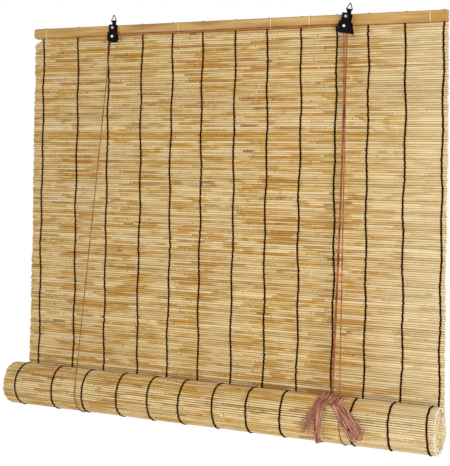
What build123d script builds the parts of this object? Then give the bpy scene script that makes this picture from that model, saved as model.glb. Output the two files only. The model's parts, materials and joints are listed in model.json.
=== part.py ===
from build123d import *
import os
from math import acos, atan2, cos, degrees, hypot, pi, radians, sin, tan

# Reed roll-up blind: a mat of reeds hangs from a bamboo head rail, its lower end is wound
# into a roll round a pole, and two loops of cord under the roll lift it through a pulley
# and a cord lock. All sizes are millimetres. The origin is the middle of the head rail's
# back face, +X is right as seen from the room, +Y is towards the wall and +Z is up.

os.makedirs("parts", exist_ok=True)

# Fits
seat_gap = 0.05
run_gap = 0.06
side_gap = 0.3
end_gap = 0.4
cut_overrun = 1.0

# Mat of reeds and its black binding threads
mat_width = 1000.0
mat_drop = 805.0
reed_thickness = 4.7
reed_pitch = 4.6
reed_groove = 1.3
reed_crest_share = 0.42
thread_width = 1.8
thread_thickness = 0.6
thread_knot_size = 2.6
thread_facets = 12
thread_place_shares = (
    0.028, 0.124, 0.207, 0.295, 0.373, 0.449, 0.529, 0.606, 0.683, 0.762, 0.832, 0.911, 0.989,
)
gap_count = 60
gap_height = 0.9
gap_length_shares = (0.82, 0.55, 0.7, 0.4)
gap_bay_skip_count = 5
gap_row_skip_count = 37

# Roll
pole_radius = 12.0
pole_inset = 2.0
full_turns = 5
turn_slack = 0.3

# Head rail: two bamboo slats with the top of the mat between them
rail_end_inset = 3.0
rail_height = 23.0
back_rail_thickness = 7.0
front_rail_thickness = 8.0
front_rail_bevel = 2.4
rail_end_round = 6.0
back_rail_round = 1.5
node_place_shares = (0.037, 0.391, 0.616, 0.705, 0.966)
node_width = 3.6
node_rise = 0.5
nail_radius = 0.9
nail_head_radius = 2.2
nail_head_thickness = 0.8
nail_bite = 5.0
nail_slot_length = 6.0
nail_place_shares = (0.06, 0.36, 0.64, 0.94)

# Cords
cord_diameter = 2.5
cord_sides = 6
cord_gap = 0.3
tie_depth = 17.0

# Pulley at the left and cord lock at the right
pulley_x = -275.0
lock_x = 286.0
pulley_tilt = 1.0
lock_tilt = 11.0
axle_below_rail = 3.0
plate_thickness = 1.2
plate_round = 1.6
plate_width = 17.6
plate_top = 27.2
plate_foot = 9.5
pulley_body_width = 24.0
pulley_body_bottom = 13.0
pulley_body_round = 7.0
lock_shoulder_width = 24.0
lock_skirt_width = 35.0
lock_skirt_shift = 2.2
lock_skirt_bottom = 14.0
screw_height = 20.0
screw_radius = 1.75
screw_bite = 6.5
screw_head_radius = 3.3
screw_head_height = 1.9
screw_slot_width = 0.8
screw_slot_depth = 0.9
sleeve_wall = 1.4
axle_radius = 1.5
axle_head_radius = 3.1
axle_head_height = 1.5
head_shoulder_share = 0.68
head_shoulder_rise_share = 0.7
axle_tail_radius = 2.6
axle_tail_thickness = 0.8
wheel_cord_radius = 5.0
wheel_groove_width = 4.2
wheel_groove_floor = 3.0
wheel_flange = 0.6
wheel_flange_rise = 2.2
wheel_hub_radius = 2.8
wheel_hub_length = 0.6

# Hanging rings
ring_height_on_plate = 35.0
ring_wire_radius = 1.0
ring_wire_sides = 8
ring_base = 14.5
ring_rise = 15.0
ring_corner = 1.4
neck_width = 9.8

# Knurled roller that pinches the cords in the lock
roller_radius = 3.0
roller_pin_radius = 1.1
roller_teeth = 12
roller_tooth = 0.5
roller_x = -12.0
roller_z = -8.0
roller_travel = 5.0
roller_lean = 20.0

# Hank of cord that hangs over the roll
hank_x = 292.0
hank_width = 128.0
hank_height = 100.0
hank_thickness = 13.0
hank_lean_share = 0.43
hank_spread = 5.5
hank_outline_shares = (
    (-0.10, 0.50), (0.10, 0.50), (0.30, 0.36), (0.60, 0.10), (0.62, -0.04),
    (0.50, -0.24), (0.40, -0.22), (0.15, 0.24), (0.02, 0.27), (-0.06, 0.20),
    (-0.12, -0.42), (-0.23, -0.44), (-0.20, -0.06), (-0.34, -0.12), (-0.38, 0.0), (-0.18, 0.34),
)
wrap_left_x = -309.0
wrap_right_x = 313.0
tie_left_x = -279.0
tie_right_x = 288.0

# Planes of the layers, counted from the wall side
rail_length = mat_width - 2 * rail_end_inset
mat_back_y = -back_rail_thickness - thread_thickness - 2 * seat_gap
mat_mid_y = mat_back_y - reed_thickness / 2
mat_front_y = mat_back_y - reed_thickness
front_rail_back_y = mat_front_y - thread_thickness - 2 * seat_gap
front_rail_y = front_rail_back_y - front_rail_thickness
rail_top_z = rail_height / 2
rail_bottom_z = -rail_height / 2

# The roll's size follows from the pole and the turns of mat on it
turn_pitch = reed_thickness + 2 * (thread_thickness + seat_gap) + turn_slack
roll_mid_radius = pole_radius + seat_gap + reed_thickness / 2 + full_turns * turn_pitch
roll_radius = roll_mid_radius + reed_thickness / 2
roll_y = mat_mid_y - roll_mid_radius
roll_z = rail_bottom_z - mat_drop
facet_growth = 1 / cos(pi / (2 * thread_facets))
thread_in_radius = (roll_radius + seat_gap) * facet_growth
thread_out_radius = thread_in_radius + thread_thickness
roll_plane = Plane(origin=(0, roll_y, roll_z), x_dir=(0, 1, 0), z_dir=(1, 0, 0))
thread_places = [(share - 0.5) * mat_width for share in thread_place_shares]

cord_radius = cord_diameter / 2
wheel_groove_radius = wheel_cord_radius - cord_radius - cord_gap
wheel_width = wheel_groove_width + 2 * wheel_flange
wheel_radius = wheel_cord_radius + wheel_flange_rise
axle_z = rail_bottom_z - axle_below_rail
wheel_depth = plate_thickness + side_gap + wheel_width / 2
wheel_step = wheel_width + wheel_hub_length + side_gap
pulley_gap = wheel_width + wheel_hub_length + 2 * side_gap
lock_gap = pulley_gap + wheel_step
rear_cord_y = front_rail_y - wheel_depth
front_cord_y = rear_cord_y - wheel_step
eye_bore = ring_wire_radius + run_gap
eye_radius = eye_bore + plate_thickness


def keep(piece, name):
    """Label a finished piece and write it to its own file."""
    piece.part.label = name
    export_step(piece.part, f"parts/{name}.step")


def bracket_plane(axle_x, tilt, depth):
    """Plane of a bracket, centred on its axle, leaning to the right, facing the room."""
    lean = radians(tilt)
    return Plane(
        origin=(axle_x, front_rail_y - depth, axle_z),
        x_dir=(cos(lean), 0, -sin(lean)),
        z_dir=(0, -1, 0),
    )


# Mat: one wall of reeds, with ridges on both faces and slits where neighbouring reeds part
mat_bottom_z = roll_z + end_gap
reed_count = round((rail_top_z - mat_bottom_z) / reed_pitch)
reed_step = (rail_top_z - mat_bottom_z) / reed_count
valley_front_y = mat_front_y + reed_groove
valley_back_y = mat_back_y - reed_groove
crest_low_share = (1 - reed_crest_share) / 2
crest_high_share = (1 + reed_crest_share) / 2


def reed_side(crest_y, valley_y):
    """One face of the mat from bottom to top: valley, crest, crest for every reed."""
    points = []
    for reed in range(reed_count):
        foot_z = mat_bottom_z + reed * reed_step
        points.append((valley_y, foot_z))
        points.append((crest_y, foot_z + crest_low_share * reed_step))
        points.append((crest_y, foot_z + crest_high_share * reed_step))
    return points + [(valley_y, rail_top_z)]


nail_row = round((0 - mat_bottom_z) / reed_step)
nail_z = mat_bottom_z + nail_row * reed_step
nail_places = [(share - 0.5) * rail_length for share in nail_place_shares]
lowest_row = round(2 * roll_radius / reed_step)
highest_row = int((rail_bottom_z - mat_bottom_z) / reed_step) - 1

with BuildPart() as reed_sheet:
    with BuildSketch(Plane.YZ):
        with BuildLine():
            Polyline(
                *reed_side(mat_front_y, valley_front_y),
                *reversed(reed_side(mat_back_y, valley_back_y)),
                close=True,
            )
        make_face()
    extrude(amount=mat_width / 2, both=True)
    with BuildSketch(Plane.XZ.offset(-mat_mid_y)):
        for gap in range(gap_count):
            bay = gap * gap_bay_skip_count % (len(thread_places) - 1)
            row = lowest_row + gap * gap_row_skip_count % (highest_row - lowest_row)
            bay_width = thread_places[bay + 1] - thread_places[bay]
            bay_x = (thread_places[bay + 1] + thread_places[bay]) / 2
            with Locations((bay_x, mat_bottom_z + row * reed_step)):
                Rectangle(bay_width * gap_length_shares[gap % len(gap_length_shares)], gap_height)
        with Locations(*[(nail_x, nail_z) for nail_x in nail_places]):
            Rectangle(nail_slot_length, 2 * (nail_radius + side_gap))
    extrude(amount=reed_thickness, both=True, mode=Mode.SUBTRACT)
keep(reed_sheet, "reed_sheet")

# Binding threads: each is a loop over the mat's top edge, down its front and down its back
thread_front_y = mat_front_y - seat_gap
thread_back_y = mat_back_y + seat_gap
thread_top_z = rail_top_z + seat_gap
for number, thread_x in enumerate(thread_places, start=1):
    with BuildPart() as thread:
        with BuildSketch(Plane.YZ.offset(thread_x)):
            with BuildLine():
                Polyline(
                    (thread_front_y, mat_bottom_z),
                    (thread_front_y, thread_top_z),
                    (thread_back_y, thread_top_z),
                    (thread_back_y, mat_bottom_z),
                    (thread_back_y + thread_thickness, mat_bottom_z),
                    (thread_back_y + thread_thickness, thread_top_z + thread_thickness),
                    (thread_front_y - thread_thickness, thread_top_z + thread_thickness),
                    (thread_front_y - thread_thickness, mat_bottom_z),
                    close=True,
                )
            make_face()
        extrude(amount=thread_width / 2, both=True)
        with Locations((thread_x, mat_mid_y, thread_top_z)):
            Box(
                thread_knot_size,
                thread_knot_size,
                thread_knot_size,
                align=(Align.CENTER, Align.CENTER, Align.MIN),
            )
    keep(thread, f"binding_thread_{number:02d}")

# Roll: the mat wound round the pole. Lower half turns are centred on the axis and upper half
# turns half a pitch in front of it, so that every turn lies one pitch inside the last.
half_pitch = turn_pitch / 2


def ridged_half_turn(centre_y, crest_radius, start_angle):
    """Reed ridges over half a turn, clockwise from the start angle."""
    count = round(pi * crest_radius / reed_pitch)
    step = -180 / count
    points = []
    for reed in range(count):
        for share, radius in (
            (0, crest_radius - reed_groove),
            (crest_low_share, crest_radius),
            (crest_high_share, crest_radius),
        ):
            angle = radians(start_angle + (reed + share) * step)
            points.append((centre_y + radius * cos(angle), radius * sin(angle)))
    return points


with BuildPart() as reed_roll:
    with BuildSketch(roll_plane):
        with BuildLine():
            outer_points = ridged_half_turn(0, roll_radius, 0)
            outer_points += ridged_half_turn(-half_pitch, roll_radius - half_pitch, 180)
            inner_start = roll_radius - turn_pitch
            Polyline(*outer_points, (inner_start, 0))
            for turn in range(1, full_turns + 1):
                face_radius = roll_radius - turn * turn_pitch
                CenterArc((0, 0), face_radius, 0, -180)
                if turn < full_turns:
                    CenterArc((-half_pitch, 0), face_radius - half_pitch, 180, -180)
            for turn in range(full_turns + 1):
                face_radius = roll_mid_radius - reed_thickness / 2 - turn * turn_pitch
                CenterArc((0, 0), face_radius, 0, -180)
                if turn < full_turns:
                    CenterArc((-half_pitch, 0), face_radius - half_pitch, 180, -180)
            end_radius = roll_radius - full_turns * turn_pitch
            Line((-end_radius, 0), (-end_radius + reed_thickness, 0))
            Line((roll_mid_radius - reed_thickness / 2, 0), outer_points[0])
        make_face()
    extrude(amount=mat_width / 2, both=True)
keep(reed_roll, "reed_roll")

# Binding threads where they show on the roll's outer turn, as facets that clear the reeds


def faceted_turn(radius):
    """Corners of one turn, the upper half ahead of the axis, short of the mat that meets it."""
    points = []
    for facet in range(2 * thread_facets):
        angle = radians(-180 * facet / thread_facets)
        centre_y = 0 if facet <= thread_facets else -half_pitch
        reach = radius + centre_y
        points.append((centre_y + reach * cos(angle), reach * sin(angle)))
    return points


with BuildPart() as roll_threads:
    thread_planes = [roll_plane.offset(thread_x) for thread_x in thread_places]
    with BuildSketch(*thread_planes):
        with BuildLine():
            Polyline(
                *faceted_turn(thread_out_radius),
                *reversed(faceted_turn(thread_in_radius)),
                close=True,
            )
        make_face()
    extrude(amount=thread_width / 2, both=True)
keep(roll_threads, "roll_threads")

# Bottom pole at the heart of the roll
with BuildPart() as bottom_pole:
    with BuildSketch(roll_plane):
        Circle(pole_radius)
    extrude(amount=mat_width / 2 - pole_inset, both=True)
keep(bottom_pole, "bottom_pole")

# Back slat: flat against the wall, with countersunk nails and two notches for the cord ends
tie_places = ((tie_left_x, wrap_left_x), (tie_right_x, wrap_right_x))
wrap_radius = thread_out_radius + cord_gap + cord_radius
back_cord_y = roll_y + wrap_radius
notch_floor_y = back_cord_y + cord_radius + cord_gap
notch_top_z = rail_bottom_z + tie_depth + end_gap

with BuildPart() as back_rail:
    with Locations((0, -back_rail_thickness / 2, 0)):
        Box(rail_length, back_rail_thickness, rail_height)
    fillet(back_rail.edges().filter_by(Axis.X).group_by(Axis.Y)[-1], back_rail_round)
    for tie_x, wrap_x in tie_places:
        drift = abs(wrap_x - tie_x) * tie_depth / (rail_bottom_z + tie_depth - roll_z)
        with Locations((tie_x, notch_floor_y, notch_top_z)):
            Box(
                cord_diameter + 2 * (cord_gap + drift),
                back_rail_thickness + notch_floor_y + cut_overrun,
                notch_top_z - rail_bottom_z + cut_overrun,
                align=(Align.CENTER, Align.MAX, Align.MAX),
                mode=Mode.SUBTRACT,
            )
    for nail_x in nail_places:
        with Locations(Plane(origin=(nail_x, 0, nail_z), x_dir=(1, 0, 0), z_dir=(0, 1, 0))):
            CounterBoreHole(
                nail_radius + seat_gap,
                nail_head_radius + seat_gap,
                nail_head_thickness + seat_gap,
            )
keep(back_rail, "back_rail")

# Front slat: the bamboo face of the rail, with its node rings and the screw and nail holes
screw_places = []
for axle_x, tilt in ((pulley_x, pulley_tilt), (lock_x, lock_tilt)):
    screw_x = axle_x + screw_height * sin(radians(tilt))
    screw_z = axle_z + screw_height * cos(radians(tilt))
    screw_places.append((screw_x, screw_z))

with BuildPart() as front_rail:
    with Locations((0, (front_rail_y + front_rail_back_y) / 2, 0)):
        Box(rail_length, front_rail_thickness, rail_height)
    fillet(front_rail.edges().filter_by(Axis.Y).group_by(Axis.X)[0], rail_end_round)
    chamfer(front_rail.faces().sort_by(Axis.Y)[0].edges(), front_rail_bevel)
    for share in node_place_shares:
        node_plane = Plane.YZ.offset((share - 0.5) * rail_length)
        with BuildSketch(node_plane):
            node_depth = front_rail_thickness + node_rise
            with Locations((front_rail_back_y - node_depth / 2, 0)):
                node_face = Rectangle(node_depth, rail_height + 2 * node_rise)
            chamfer(node_face.vertices().group_by(Axis.X)[0], front_rail_bevel)
        extrude(amount=node_width / 2, both=True)
    for screw_x, screw_z in screw_places:
        with Locations(Plane(origin=(screw_x, front_rail_y, screw_z), z_dir=(0, -1, 0))):
            Hole(screw_radius + seat_gap, depth=screw_bite + end_gap)
    for nail_x in nail_places:
        with Locations(Plane(origin=(nail_x, front_rail_back_y, nail_z), z_dir=(0, 1, 0))):
            Hole(nail_radius + seat_gap, depth=nail_bite + end_gap)
keep(front_rail, "front_rail")

# Nails driven from the back that clamp the mat between the slats
nail_length = -front_rail_back_y + nail_bite
with BuildPart() as rail_nails:
    for nail_x in nail_places:
        nail_plane = Plane(origin=(nail_x, 0, nail_z), x_dir=(1, 0, 0), z_dir=(0, -1, 0))
        with BuildSketch(nail_plane):
            Circle(nail_head_radius)
        extrude(amount=nail_head_thickness)
        with BuildSketch(nail_plane):
            Circle(nail_radius)
        extrude(amount=nail_length)
keep(rail_nails, "rail_nails")


def plate_outline(skirted):
    """Front view of a bracket plate about its axle: upper plate and the body below it."""
    with BuildSketch() as outline:
        with Locations((0, (plate_top + plate_foot) / 2)):
            Rectangle(plate_width, plate_top - plate_foot)
        if skirted:
            with BuildLine():
                Polyline(
                    (-lock_shoulder_width / 2, plate_foot),
                    (lock_shoulder_width / 2, plate_foot),
                    (lock_skirt_shift + lock_skirt_width / 2, -lock_skirt_bottom),
                    (lock_skirt_shift - lock_skirt_width / 2, -lock_skirt_bottom),
                    close=True,
                )
            make_face()
        else:
            with Locations((0, (plate_foot - pulley_body_bottom) / 2)):
                Rectangle(pulley_body_width, plate_foot + pulley_body_bottom)
            fillet(outline.vertices().group_by(Axis.Y)[0], pulley_body_round)
        fillet(outline.vertices().group_by(Axis.Y)[-1], plate_round)
    return outline.sketch


def roller_slot(grown):
    """Slanted slot that the lock's roller pins run in."""
    lean = radians(roller_lean)
    middle_x = roller_x + roller_travel / 2 * sin(lean)
    middle_z = roller_z + roller_travel / 2 * cos(lean)
    with BuildSketch() as slot:
        with Locations(Location((middle_x, middle_z, 0), (0, 0, 90 - roller_lean))):
            SlotCenterToCenter(roller_travel, 2 * (roller_pin_radius + grown))
    return slot.sketch


def back_plate(axle_x, tilt, skirted):
    """Plate on the rail, with a tongue rolled into an eye round the ring's wire."""
    plane = bracket_plane(axle_x, tilt, 0)
    eye_plane = Plane(
        origin=plane.from_local_coords((0, ring_height_on_plate, eye_radius)),
        x_dir=plane.z_dir,
        z_dir=plane.x_dir,
    )
    with BuildPart() as plate:
        with BuildSketch(plane):
            add(plate_outline(skirted))
            with Locations((0, (ring_height_on_plate + plate_foot) / 2)):
                Rectangle(neck_width, ring_height_on_plate - plate_foot)
            Circle(axle_radius + seat_gap, mode=Mode.SUBTRACT)
            with Locations((0, screw_height)):
                Circle(screw_radius + seat_gap, mode=Mode.SUBTRACT)
            if skirted:
                add(roller_slot(run_gap), mode=Mode.SUBTRACT)
        extrude(amount=plate_thickness)
        with BuildSketch(eye_plane):
            Circle(eye_radius)
        extrude(amount=neck_width / 2, both=True)
        with BuildSketch(eye_plane):
            Circle(eye_bore)
        extrude(amount=neck_width, both=True, mode=Mode.SUBTRACT)
    return plate


def front_plate(axle_x, tilt, gap, skirted):
    """Cover plate, with a lip folded back over the top to meet the plate on the rail."""
    plane = bracket_plane(axle_x, tilt, plate_thickness + gap)
    lip_plane = bracket_plane(axle_x, tilt, plate_thickness + seat_gap)
    with BuildPart() as plate:
        with BuildSketch(plane):
            add(plate_outline(skirted))
            Circle(axle_radius + seat_gap, mode=Mode.SUBTRACT)
            with Locations((0, screw_height)):
                Circle(screw_radius + seat_gap, mode=Mode.SUBTRACT)
            if skirted:
                add(roller_slot(run_gap), mode=Mode.SUBTRACT)
        extrude(amount=plate_thickness)
        with BuildSketch(lip_plane):
            with Locations((0, plate_top - plate_thickness / 2)):
                Rectangle(plate_width - 2 * plate_round, plate_thickness)
        extrude(amount=gap - seat_gap + plate_thickness / 2)
    return plate


def axle_rivet(axle_x, tilt, gap):
    """Rivet that the wheels turn on: domed head in front, flat tail behind the back plate."""
    stack = gap + 2 * plate_thickness
    plane = bracket_plane(axle_x, tilt, 0)
    rivet_plane = Plane(origin=plane.origin, x_dir=plane.x_dir, z_dir=-plane.y_dir)
    with BuildPart() as rivet:
        with BuildSketch(rivet_plane):
            with BuildLine():
                head_z = stack + seat_gap
                Polyline(
                    (0, -axle_tail_thickness - seat_gap),
                    (axle_tail_radius, -axle_tail_thickness - seat_gap),
                    (axle_tail_radius, -seat_gap),
                    (axle_radius, -seat_gap),
                    (axle_radius, head_z),
                    (axle_head_radius, head_z),
                    (
                        axle_head_radius * head_shoulder_share,
                        head_z + axle_head_height * head_shoulder_rise_share,
                    ),
                    (0, head_z + axle_head_height),
                    close=True,
                )
            make_face()
        revolve(axis=Axis(plane.origin, plane.z_dir))
    return rivet


def bracket_screw(axle_x, tilt, gap):
    """Slotted round-head screw through both plates and the sleeve into the front slat."""
    head_depth = gap + 2 * plate_thickness + seat_gap
    plane = bracket_plane(axle_x, tilt, 0)
    foot = plane.from_local_coords((0, screw_height, 0))
    screw_plane = Plane(origin=foot, x_dir=plane.x_dir, z_dir=-plane.y_dir)
    with BuildPart() as screw:
        with BuildSketch(screw_plane):
            with BuildLine():
                Polyline(
                    (0, head_depth + screw_head_height),
                    (0, -screw_bite),
                    (screw_radius, -screw_bite + screw_radius),
                    (screw_radius, head_depth),
                    (screw_head_radius, head_depth),
                    (
                        screw_head_radius * head_shoulder_share,
                        head_depth + screw_head_height * head_shoulder_rise_share,
                    ),
                    close=True,
                )
            make_face()
        revolve(axis=Axis(foot, plane.z_dir))
        with BuildSketch(bracket_plane(axle_x, tilt, head_depth + screw_head_height)):
            with Locations((0, screw_height)):
                Rectangle(2 * screw_head_radius, screw_slot_width)
        extrude(amount=-screw_slot_depth, mode=Mode.SUBTRACT)
    return screw


def spacer_sleeve(axle_x, tilt, gap):
    """Tube on the screw that keeps the two plates apart."""
    with BuildPart() as sleeve:
        with BuildSketch(bracket_plane(axle_x, tilt, plate_thickness + seat_gap)):
            with Locations((0, screw_height)):
                Circle(screw_radius + seat_gap + sleeve_wall)
                Circle(screw_radius + seat_gap, mode=Mode.SUBTRACT)
        extrude(amount=gap - 2 * seat_gap)
    return sleeve


def grooved_wheel(axle_x, tilt, depth):
    """Cord wheel with a groove and a hub that spaces it from what is in front."""
    plane = bracket_plane(axle_x, tilt, depth)
    wheel_plane = Plane(origin=plane.origin, x_dir=plane.x_dir, z_dir=-plane.y_dir)
    half_groove = wheel_groove_width / 2
    half_width = wheel_width / 2
    bore = axle_radius + run_gap
    with BuildPart() as wheel:
        with BuildSketch(wheel_plane):
            with BuildLine():
                Polyline(
                    (wheel_radius, half_groove),
                    (wheel_radius, half_width),
                    (wheel_hub_radius, half_width),
                    (wheel_hub_radius, half_width + wheel_hub_length),
                    (bore, half_width + wheel_hub_length),
                    (bore, -half_width),
                    (wheel_radius, -half_width),
                    (wheel_radius, -half_groove),
                    (wheel_groove_radius, -wheel_groove_floor / 2),
                    (wheel_groove_radius, wheel_groove_floor / 2),
                    close=True,
                )
            make_face()
        revolve(axis=Axis(plane.origin, plane.z_dir))
    return wheel


def hanging_ring(axle_x, tilt):
    """Triangle of wire whose base turns in the back plate's eye."""
    plane = bracket_plane(axle_x, tilt, eye_radius)
    wire_half = ring_wire_radius * cos(pi / ring_wire_sides)
    wire_bevel = wire_half * (1 - tan(pi / ring_wire_sides))
    with BuildPart() as ring:
        with BuildSketch(plane) as outline:
            with BuildLine():
                Polyline(
                    (ring_base / 2, ring_height_on_plate),
                    (0, ring_height_on_plate + ring_rise),
                    (-ring_base / 2, ring_height_on_plate),
                    close=True,
                )
            make_face()
            chamfer(outline.vertices(), ring_corner)
            offset(amount=wire_half, kind=Kind.INTERSECTION)
            offset(amount=-2 * wire_half, kind=Kind.INTERSECTION, mode=Mode.SUBTRACT)
        extrude(amount=wire_half, both=True)
        flat_faces = ring.faces().filter_by(Axis.Y)
        chamfer(flat_faces.edges(), wire_bevel)
    return ring


brackets = (
    ("pulley", pulley_x, pulley_tilt, pulley_gap, False),
    ("lock", lock_x, lock_tilt, lock_gap, True),
)
for bracket, axle_x, tilt, gap, skirted in brackets:
    keep(back_plate(axle_x, tilt, skirted), f"{bracket}_back_plate")
    keep(front_plate(axle_x, tilt, gap, skirted), f"{bracket}_front_plate")
    keep(axle_rivet(axle_x, tilt, gap), f"{bracket}_axle_rivet")
    keep(bracket_screw(axle_x, tilt, gap), f"{bracket}_screw")
    keep(spacer_sleeve(axle_x, tilt, gap), f"{bracket}_spacer_sleeve")
    keep(hanging_ring(axle_x, tilt), f"{bracket}_hanging_ring")
keep(grooved_wheel(pulley_x, pulley_tilt, wheel_depth), "pulley_wheel")
keep(grooved_wheel(lock_x, lock_tilt, wheel_depth), "lock_rear_wheel")
keep(grooved_wheel(lock_x, lock_tilt, wheel_depth + wheel_step), "lock_front_wheel")

# Roller of the lock: a toothed barrel between the plates, with a pin in each slanted slot
barrel_length = lock_gap - 2 * side_gap
pin_reach = plate_thickness + side_gap
with BuildPart() as lock_roller:
    barrel_plane = bracket_plane(lock_x, lock_tilt, plate_thickness + side_gap)
    with BuildSketch(barrel_plane):
        with Locations((roller_x, roller_z)):
            Circle(roller_radius - roller_tooth)
            with PolarLocations(roller_radius - roller_tooth, roller_teeth):
                Rectangle(2 * roller_tooth, 2 * roller_tooth, rotation=45)
    extrude(amount=barrel_length)
    with BuildSketch(barrel_plane):
        with Locations((roller_x, roller_z)):
            Circle(roller_pin_radius)
    extrude(amount=-pin_reach)
    with BuildSketch(barrel_plane):
        with Locations((roller_x, roller_z)):
            Circle(roller_pin_radius)
    extrude(amount=barrel_length + pin_reach)
keep(lock_roller, "lock_roller")


def straight_cord(start, end, name):
    """Taut cord between two points, a little short of each."""
    run = Vector(*end) - Vector(*start)
    way = run.normalized()
    with BuildPart() as cord:
        with BuildSketch(Plane(origin=Vector(*start) + way * end_gap, z_dir=way)):
            RegularPolygon(cord_radius, cord_sides)
        extrude(amount=run.length - 2 * end_gap)
    print(name, "straight, length", round(run.length, 1))
    keep(cord, name)


def swept_cord(route, name):
    """Cord along a route of straight runs and tangent arcs."""
    with BuildPart() as cord:
        with BuildSketch(Plane(origin=route.line @ 0, z_dir=route.line % 0)):
            RegularPolygon(cord_radius, cord_sides)
        sweep(path=route.wire())
    section = cord_sides / 2 * cord_radius**2 * sin(2 * pi / cord_sides)
    length = route.wire().length
    print(name, "length", round(length, 1), "volume share", round(cord.part.volume / section / length, 3))
    keep(cord, name)


def front_touch(cord_y):
    """Angle round the roll, from its back over the top, where a taut cord meets its wrap."""
    behind = cord_y - roll_y
    above = axle_z - roll_z
    return degrees(atan2(above, behind) + acos(wrap_radius / hypot(behind, above)))


def roll_point(x, angle):
    """Point of a cord's wrap round the roll."""
    turn = radians(angle)
    return (x, roll_y + wrap_radius * cos(turn), roll_z + wrap_radius * sin(turn))


# Lift cords: down in front of the mat, under the roll and up behind the mat to the back slat
lift_cords = (
    ("left", (pulley_x - wheel_cord_radius, rear_cord_y, axle_z), wrap_left_x, tie_left_x),
    ("right", (lock_x + wheel_cord_radius, front_cord_y, axle_z), wrap_right_x, tie_right_x),
)
for side, wheel_point, wrap_x, tie_x in lift_cords:
    touch = front_touch(wheel_point[1])
    front_end = roll_point(wrap_x, touch)
    straight_cord(wheel_point, front_end, f"{side}_lift_cord_front")
    with BuildLine(roll_plane.offset(wrap_x)) as wrap_route:
        CenterArc((0, 0), wrap_radius, touch, 360 - touch)
    swept_cord(wrap_route, f"{side}_lift_cord_wrap")
    tie_point = (tie_x, back_cord_y, rail_bottom_z + tie_depth)
    straight_cord(roll_point(wrap_x, 360), tie_point, f"{side}_lift_cord_back")
    if side == "right":
        hank_groove = (wheel_point, front_end)

# The left cord goes on over the pulley, along the rail and over the lock's rear wheel
cord_plane = Plane(origin=(0, rear_cord_y, axle_z), x_dir=(1, 0, 0), z_dir=(0, -1, 0))
with BuildLine(cord_plane) as rail_route:
    CenterArc((pulley_x, 0), wheel_cord_radius, 180, -90)
    Line((pulley_x, wheel_cord_radius), (lock_x, wheel_cord_radius))
    CenterArc((lock_x, 0), wheel_cord_radius, 90, -90)
swept_cord(rail_route, "rail_cord")

# The right cord goes over the lock's front wheel
bend_plane = Plane(origin=(lock_x, front_cord_y, axle_z), x_dir=(1, 0, 0), z_dir=(0, -1, 0))
with BuildLine(bend_plane) as bend_route:
    CenterArc((0, 0), wheel_cord_radius, 0, 180)
swept_cord(bend_route, "lock_cord_bend")

# Pull cords from the lock down to the hank, which lies over the front of the roll
hank_inner_radius = thread_out_radius + cord_gap
hank_top_z = roll_z + max(up for across, up in hank_outline_shares) * hank_height
hank_top_y = roll_y - (hank_inner_radius + hank_thickness / 2) * hank_lean_share
knot_left = (hank_x - hank_spread, hank_top_y, hank_top_z)
knot_right = (hank_x, hank_top_y, hank_top_z)
straight_cord((lock_x - wheel_cord_radius, front_cord_y, axle_z), knot_left, "pull_cord_front")
straight_cord((lock_x + wheel_cord_radius, rear_cord_y, axle_z), knot_right, "pull_cord_rear")

with BuildPart() as cord_hank:
    with BuildSketch(Plane.XZ.offset(-roll_y)):
        with BuildLine():
            Polyline(
                *[
                    (hank_x + across * hank_width, roll_z + up * hank_height)
                    for across, up in hank_outline_shares
                ],
                close=True,
            )
        make_face()
    extrude(amount=hank_inner_radius + hank_thickness + cut_overrun)
    with BuildSketch(roll_plane.offset(hank_x)):
        Circle(hank_inner_radius + hank_thickness)
        Circle(hank_inner_radius, mode=Mode.SUBTRACT)
    extrude(amount=hank_width, both=True, mode=Mode.INTERSECT)
    groove_start = Vector(*hank_groove[0])
    groove_run = Vector(*hank_groove[1]) - groove_start
    with BuildSketch(Plane(origin=groove_start, z_dir=groove_run.normalized())):
        Circle(cord_radius + cord_gap)
    extrude(amount=groove_run.length, mode=Mode.SUBTRACT)
keep(cord_hank, "cord_hank")
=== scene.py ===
import json
import math

import bpy
import numpy as np
from mathutils import Matrix, Vector


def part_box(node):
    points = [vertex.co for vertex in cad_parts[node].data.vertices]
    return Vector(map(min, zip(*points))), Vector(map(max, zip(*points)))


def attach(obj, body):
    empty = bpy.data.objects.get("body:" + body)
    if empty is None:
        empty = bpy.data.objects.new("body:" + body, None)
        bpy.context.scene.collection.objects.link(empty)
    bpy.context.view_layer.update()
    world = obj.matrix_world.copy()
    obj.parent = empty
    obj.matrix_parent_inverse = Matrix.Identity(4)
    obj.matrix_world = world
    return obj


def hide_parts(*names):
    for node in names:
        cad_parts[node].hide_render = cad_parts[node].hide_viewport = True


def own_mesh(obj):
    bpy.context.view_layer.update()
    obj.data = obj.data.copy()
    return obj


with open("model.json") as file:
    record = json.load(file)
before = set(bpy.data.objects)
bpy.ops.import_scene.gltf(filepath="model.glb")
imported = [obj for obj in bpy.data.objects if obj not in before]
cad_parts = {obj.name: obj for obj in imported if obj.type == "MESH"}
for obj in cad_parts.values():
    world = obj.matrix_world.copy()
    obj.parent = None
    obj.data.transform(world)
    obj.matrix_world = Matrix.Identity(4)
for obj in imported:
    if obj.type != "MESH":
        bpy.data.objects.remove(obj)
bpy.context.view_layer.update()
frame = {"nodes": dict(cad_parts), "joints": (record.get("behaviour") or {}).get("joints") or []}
joints = {joint["name"]: joint for joint in frame["joints"]}

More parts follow.
